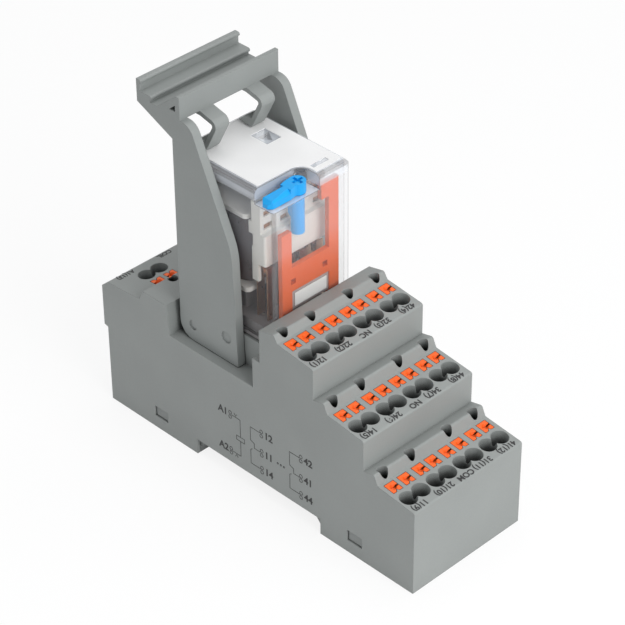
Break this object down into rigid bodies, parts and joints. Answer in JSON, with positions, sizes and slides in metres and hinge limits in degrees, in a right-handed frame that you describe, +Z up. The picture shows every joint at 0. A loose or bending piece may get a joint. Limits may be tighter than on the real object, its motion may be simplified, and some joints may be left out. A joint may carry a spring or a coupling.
{
  "type": "plug-in relay module",
  "caption": "Plug-in relay in a stepped rail-mount socket with push-in wire entries, release buttons, a swinging retaining clip and a test lever.",
  "frame": {"origin": "under the middle of the whole module, on the surface its feet stand on", "axes": "+X from the coil terminals to the stepped contact terminals, +Y across the socket, +Z up from the rail"},
  "size_m": [0.0902, 0.031, 0.0841],
  "materials": {
    "housing": "fine moulded grey plastic",
    "cover": "moulded grey plastic",
    "clip": "fine moulded grey plastic",
    "button": "moulded orange plastic",
    "copper_alloy": "bare stamped copper alloy",
    "spring_steel": "bare spring steel",
    "clear_case": "clear moulded plastic, polished",
    "label": "smooth white sheet",
    "relay_base": "dark moulded plastic",
    "tinned": "tinned copper",
    "bobbin": "off-white moulded plastic",
    "winding": "varnished copper wire, dark maroon",
    "iron": "bare soft iron",
    "carrier": "off-white moulded plastic",
    "contact_spring": "bare contact alloy",
    "frame": "moulded orange plastic",
    "white_plate": "white moulded plastic",
    "lever": "moulded blue plastic, semi-gloss"
  },
  "bodies": {
    "socket": {"socket_housing": "housing", "base_cover": "cover", "relay_case": "clear_case", "relay_label": "label", "relay_base": "relay_base", "relay_blades": "tinned", "coil_bobbin": "bobbin", "coil_winding": "winding", "coil_core": "iron", "coil_yoke": "iron", "fixed_contacts_no": "contact_spring", "fixed_contacts_nc": "contact_spring", "return_spring": "spring_steel", "front_frame": "frame", "window_plate": "white_plate", "current_bars_com": "copper_alloy", "current_bars_no": "copper_alloy", "current_bars_nc": "copper_alloy", "current_bars_coil": "copper_alloy", "clamp_springs_com": "spring_steel", "clamp_springs_no": "spring_steel", "clamp_springs_nc": "spring_steel", "clamp_springs_coil": "spring_steel"},
    "clip": {"retaining_clip": "clip"},
    "armature_group": {"armature": "iron", "contact_carrier": "carrier", "moving_contacts": "contact_spring"},
    "lever": {"test_lever": "lever"},
    "button_com_1": {"release_button_com_1": "button"},
    "button_com_2": {"release_button_com_2": "button"},
    "button_com_3": {"release_button_com_3": "button"},
    "button_com_4": {"release_button_com_4": "button"},
    "button_com_5": {"release_button_com_5": "button"},
    "button_com_6": {"release_button_com_6": "button"},
    "button_com_7": {"release_button_com_7": "button"},
    "button_com_8": {"release_button_com_8": "button"},
    "button_no_1": {"release_button_no_1": "button"},
    "button_no_2": {"release_button_no_2": "button"},
    "button_no_3": {"release_button_no_3": "button"},
    "button_no_4": {"release_button_no_4": "button"},
    "button_no_5": {"release_button_no_5": "button"},
    "button_no_6": {"release_button_no_6": "button"},
    "button_no_7": {"release_button_no_7": "button"},
    "button_no_8": {"release_button_no_8": "button"},
    "button_nc_1": {"release_button_nc_1": "button"},
    "button_nc_2": {"release_button_nc_2": "button"},
    "button_nc_3": {"release_button_nc_3": "button"},
    "button_nc_4": {"release_button_nc_4": "button"},
    "button_nc_5": {"release_button_nc_5": "button"},
    "button_nc_6": {"release_button_nc_6": "button"},
    "button_nc_7": {"release_button_nc_7": "button"},
    "button_nc_8": {"release_button_nc_8": "button"},
    "button_coil_1": {"release_button_coil_1": "button"},
    "button_coil_2": {"release_button_coil_2": "button"},
    "button_coil_3": {"release_button_coil_3": "button"},
    "button_coil_4": {"release_button_coil_4": "button"}
  },
  "joints": [
    {"name": "clip_swing", "type": "hinge", "parent": "socket", "child": "clip", "pos_m": [-0.0193, 0, 0.0309], "axis": [0, -1, 0], "range_deg": [0, 18]},
    {"name": "armature_tilt", "type": "hinge", "parent": "socket", "child": "armature_group", "pos_m": [-0.0231, 0, 0.06265], "axis": [0, 1, 0], "range_deg": [0, 2.5], "stiffness_Nm_per_rad": 0.25, "springref_deg": -1.72},
    {"name": "test_lever_turn", "type": "hinge", "parent": "socket", "child": "lever", "pos_m": [-0.0001, -0.00175, 0.067], "axis": [0, 0, 1], "range_deg": [0, 90]},
    {"name": "press_com_1", "type": "slide", "parent": "socket", "child": "button_com_1", "axis": [-0.1132, 0, -0.9936], "range_m": [0, 0.0014], "stiffness_N_per_m": 900, "springref_m": -0.0008},
    {"name": "press_com_2", "type": "slide", "parent": "socket", "child": "button_com_2", "axis": [-0.1132, 0, -0.9936], "range_m": [0, 0.0014], "stiffness_N_per_m": 900, "springref_m": -0.0008},
    {"name": "press_com_3", "type": "slide", "parent": "socket", "child": "button_com_3", "axis": [-0.1132, 0, -0.9936], "range_m": [0, 0.0014], "stiffness_N_per_m": 900, "springref_m": -0.0008},
    {"name": "press_com_4", "type": "slide", "parent": "socket", "child": "button_com_4", "axis": [-0.1132, 0, -0.9936], "range_m": [0, 0.0014], "stiffness_N_per_m": 900, "springref_m": -0.0008},
    {"name": "press_com_5", "type": "slide", "parent": "socket", "child": "button_com_5", "axis": [-0.1132, 0, -0.9936], "range_m": [0, 0.0014], "stiffness_N_per_m": 900, "springref_m": -0.0008},
    {"name": "press_com_6", "type": "slide", "parent": "socket", "child": "button_com_6", "axis": [-0.1132, 0, -0.9936], "range_m": [0, 0.0014], "stiffness_N_per_m": 900, "springref_m": -0.0008},
    {"name": "press_com_7", "type": "slide", "parent": "socket", "child": "button_com_7", "axis": [-0.1132, 0, -0.9936], "range_m": [0, 0.0014], "stiffness_N_per_m": 900, "springref_m": -0.0008},
    {"name": "press_com_8", "type": "slide", "parent": "socket", "child": "button_com_8", "axis": [-0.1132, 0, -0.9936], "range_m": [0, 0.0014], "stiffness_N_per_m": 900, "springref_m": -0.0008},
    {"name": "press_no_1", "type": "slide", "parent": "socket", "child": "button_no_1", "axis": [-0.1132, 0, -0.9936], "range_m": [0, 0.0014], "stiffness_N_per_m": 900, "springref_m": -0.0008},
    {"name": "press_no_2", "type": "slide", "parent": "socket", "child": "button_no_2", "axis": [-0.1132, 0, -0.9936], "range_m": [0, 0.0014], "stiffness_N_per_m": 900, "springref_m": -0.0008},
    {"name": "press_no_3", "type": "slide", "parent": "socket", "child": "button_no_3", "axis": [-0.1132, 0, -0.9936], "range_m": [0, 0.0014], "stiffness_N_per_m": 900, "springref_m": -0.0008},
    {"name": "press_no_4", "type": "slide", "parent": "socket", "child": "button_no_4", "axis": [-0.1132, 0, -0.9936], "range_m": [0, 0.0014], "stiffness_N_per_m": 900, "springref_m": -0.0008},
    {"name": "press_no_5", "type": "slide", "parent": "socket", "child": "button_no_5", "axis": [-0.1132, 0, -0.9936], "range_m": [0, 0.0014], "stiffness_N_per_m": 900, "springref_m": -0.0008},
    {"name": "press_no_6", "type": "slide", "parent": "socket", "child": "button_no_6", "axis": [-0.1132, 0, -0.9936], "range_m": [0, 0.0014], "stiffness_N_per_m": 900, "springref_m": -0.0008},
    {"name": "press_no_7", "type": "slide", "parent": "socket", "child": "button_no_7", "axis": [-0.1132, 0, -0.9936], "range_m": [0, 0.0014], "stiffness_N_per_m": 900, "springref_m": -0.0008},
    {"name": "press_no_8", "type": "slide", "parent": "socket", "child": "button_no_8", "axis": [-0.1132, 0, -0.9936], "range_m": [0, 0.0014], "stiffness_N_per_m": 900, "springref_m": -0.0008},
    {"name": "press_nc_1", "type": "slide", "parent": "socket", "child": "button_nc_1", "axis": [-0.1132, 0, -0.9936], "range_m": [0, 0.0014], "stiffness_N_per_m": 900, "springref_m": -0.0008},
    {"name": "press_nc_2", "type": "slide", "parent": "socket", "child": "button_nc_2", "axis": [-0.1132, 0, -0.9936], "range_m": [0, 0.0014], "stiffness_N_per_m": 900, "springref_m": -0.0008},
    {"name": "press_nc_3", "type": "slide", "parent": "socket", "child": "button_nc_3", "axis": [-0.1132, 0, -0.9936], "range_m": [0, 0.0014], "stiffness_N_per_m": 900, "springref_m": -0.0008},
    {"name": "press_nc_4", "type": "slide", "parent": "socket", "child": "button_nc_4", "axis": [-0.1132, 0, -0.9936], "range_m": [0, 0.0014], "stiffness_N_per_m": 900, "springref_m": -0.0008},
    {"name": "press_nc_5", "type": "slide", "parent": "socket", "child": "button_nc_5", "axis": [-0.1132, 0, -0.9936], "range_m": [0, 0.0014], "stiffness_N_per_m": 900, "springref_m": -0.0008},
    {"name": "press_nc_6", "type": "slide", "parent": "socket", "child": "button_nc_6", "axis": [-0.1132, 0, -0.9936], "range_m": [0, 0.0014], "stiffness_N_per_m": 900, "springref_m": -0.0008},
    {"name": "press_nc_7", "type": "slide", "parent": "socket", "child": "button_nc_7", "axis": [-0.1132, 0, -0.9936], "range_m": [0, 0.0014], "stiffness_N_per_m": 900, "springref_m": -0.0008},
    {"name": "press_nc_8", "type": "slide", "parent": "socket", "child": "button_nc_8", "axis": [-0.1132, 0, -0.9936], "range_m": [0, 0.0014], "stiffness_N_per_m": 900, "springref_m": -0.0008},
    {"name": "press_coil_1", "type": "slide", "parent": "socket", "child": "button_coil_1", "axis": [0.0698, 0, -0.9976], "range_m": [0, 0.0014], "stiffness_N_per_m": 900, "springref_m": -0.0008},
    {"name": "press_coil_2", "type": "slide", "parent": "socket", "child": "button_coil_2", "axis": [0.0698, 0, -0.9976], "range_m": [0, 0.0014], "stiffness_N_per_m": 900, "springref_m": -0.0008},
    {"name": "press_coil_3", "type": "slide", "parent": "socket", "child": "button_coil_3", "axis": [0.0698, 0, -0.9976], "range_m": [0, 0.0014], "stiffness_N_per_m": 900, "springref_m": -0.0008},
    {"name": "press_coil_4", "type": "slide", "parent": "socket", "child": "button_coil_4", "axis": [0.0698, 0, -0.9976], "range_m": [0, 0.0014], "stiffness_N_per_m": 900, "springref_m": -0.0008}
  ]
}
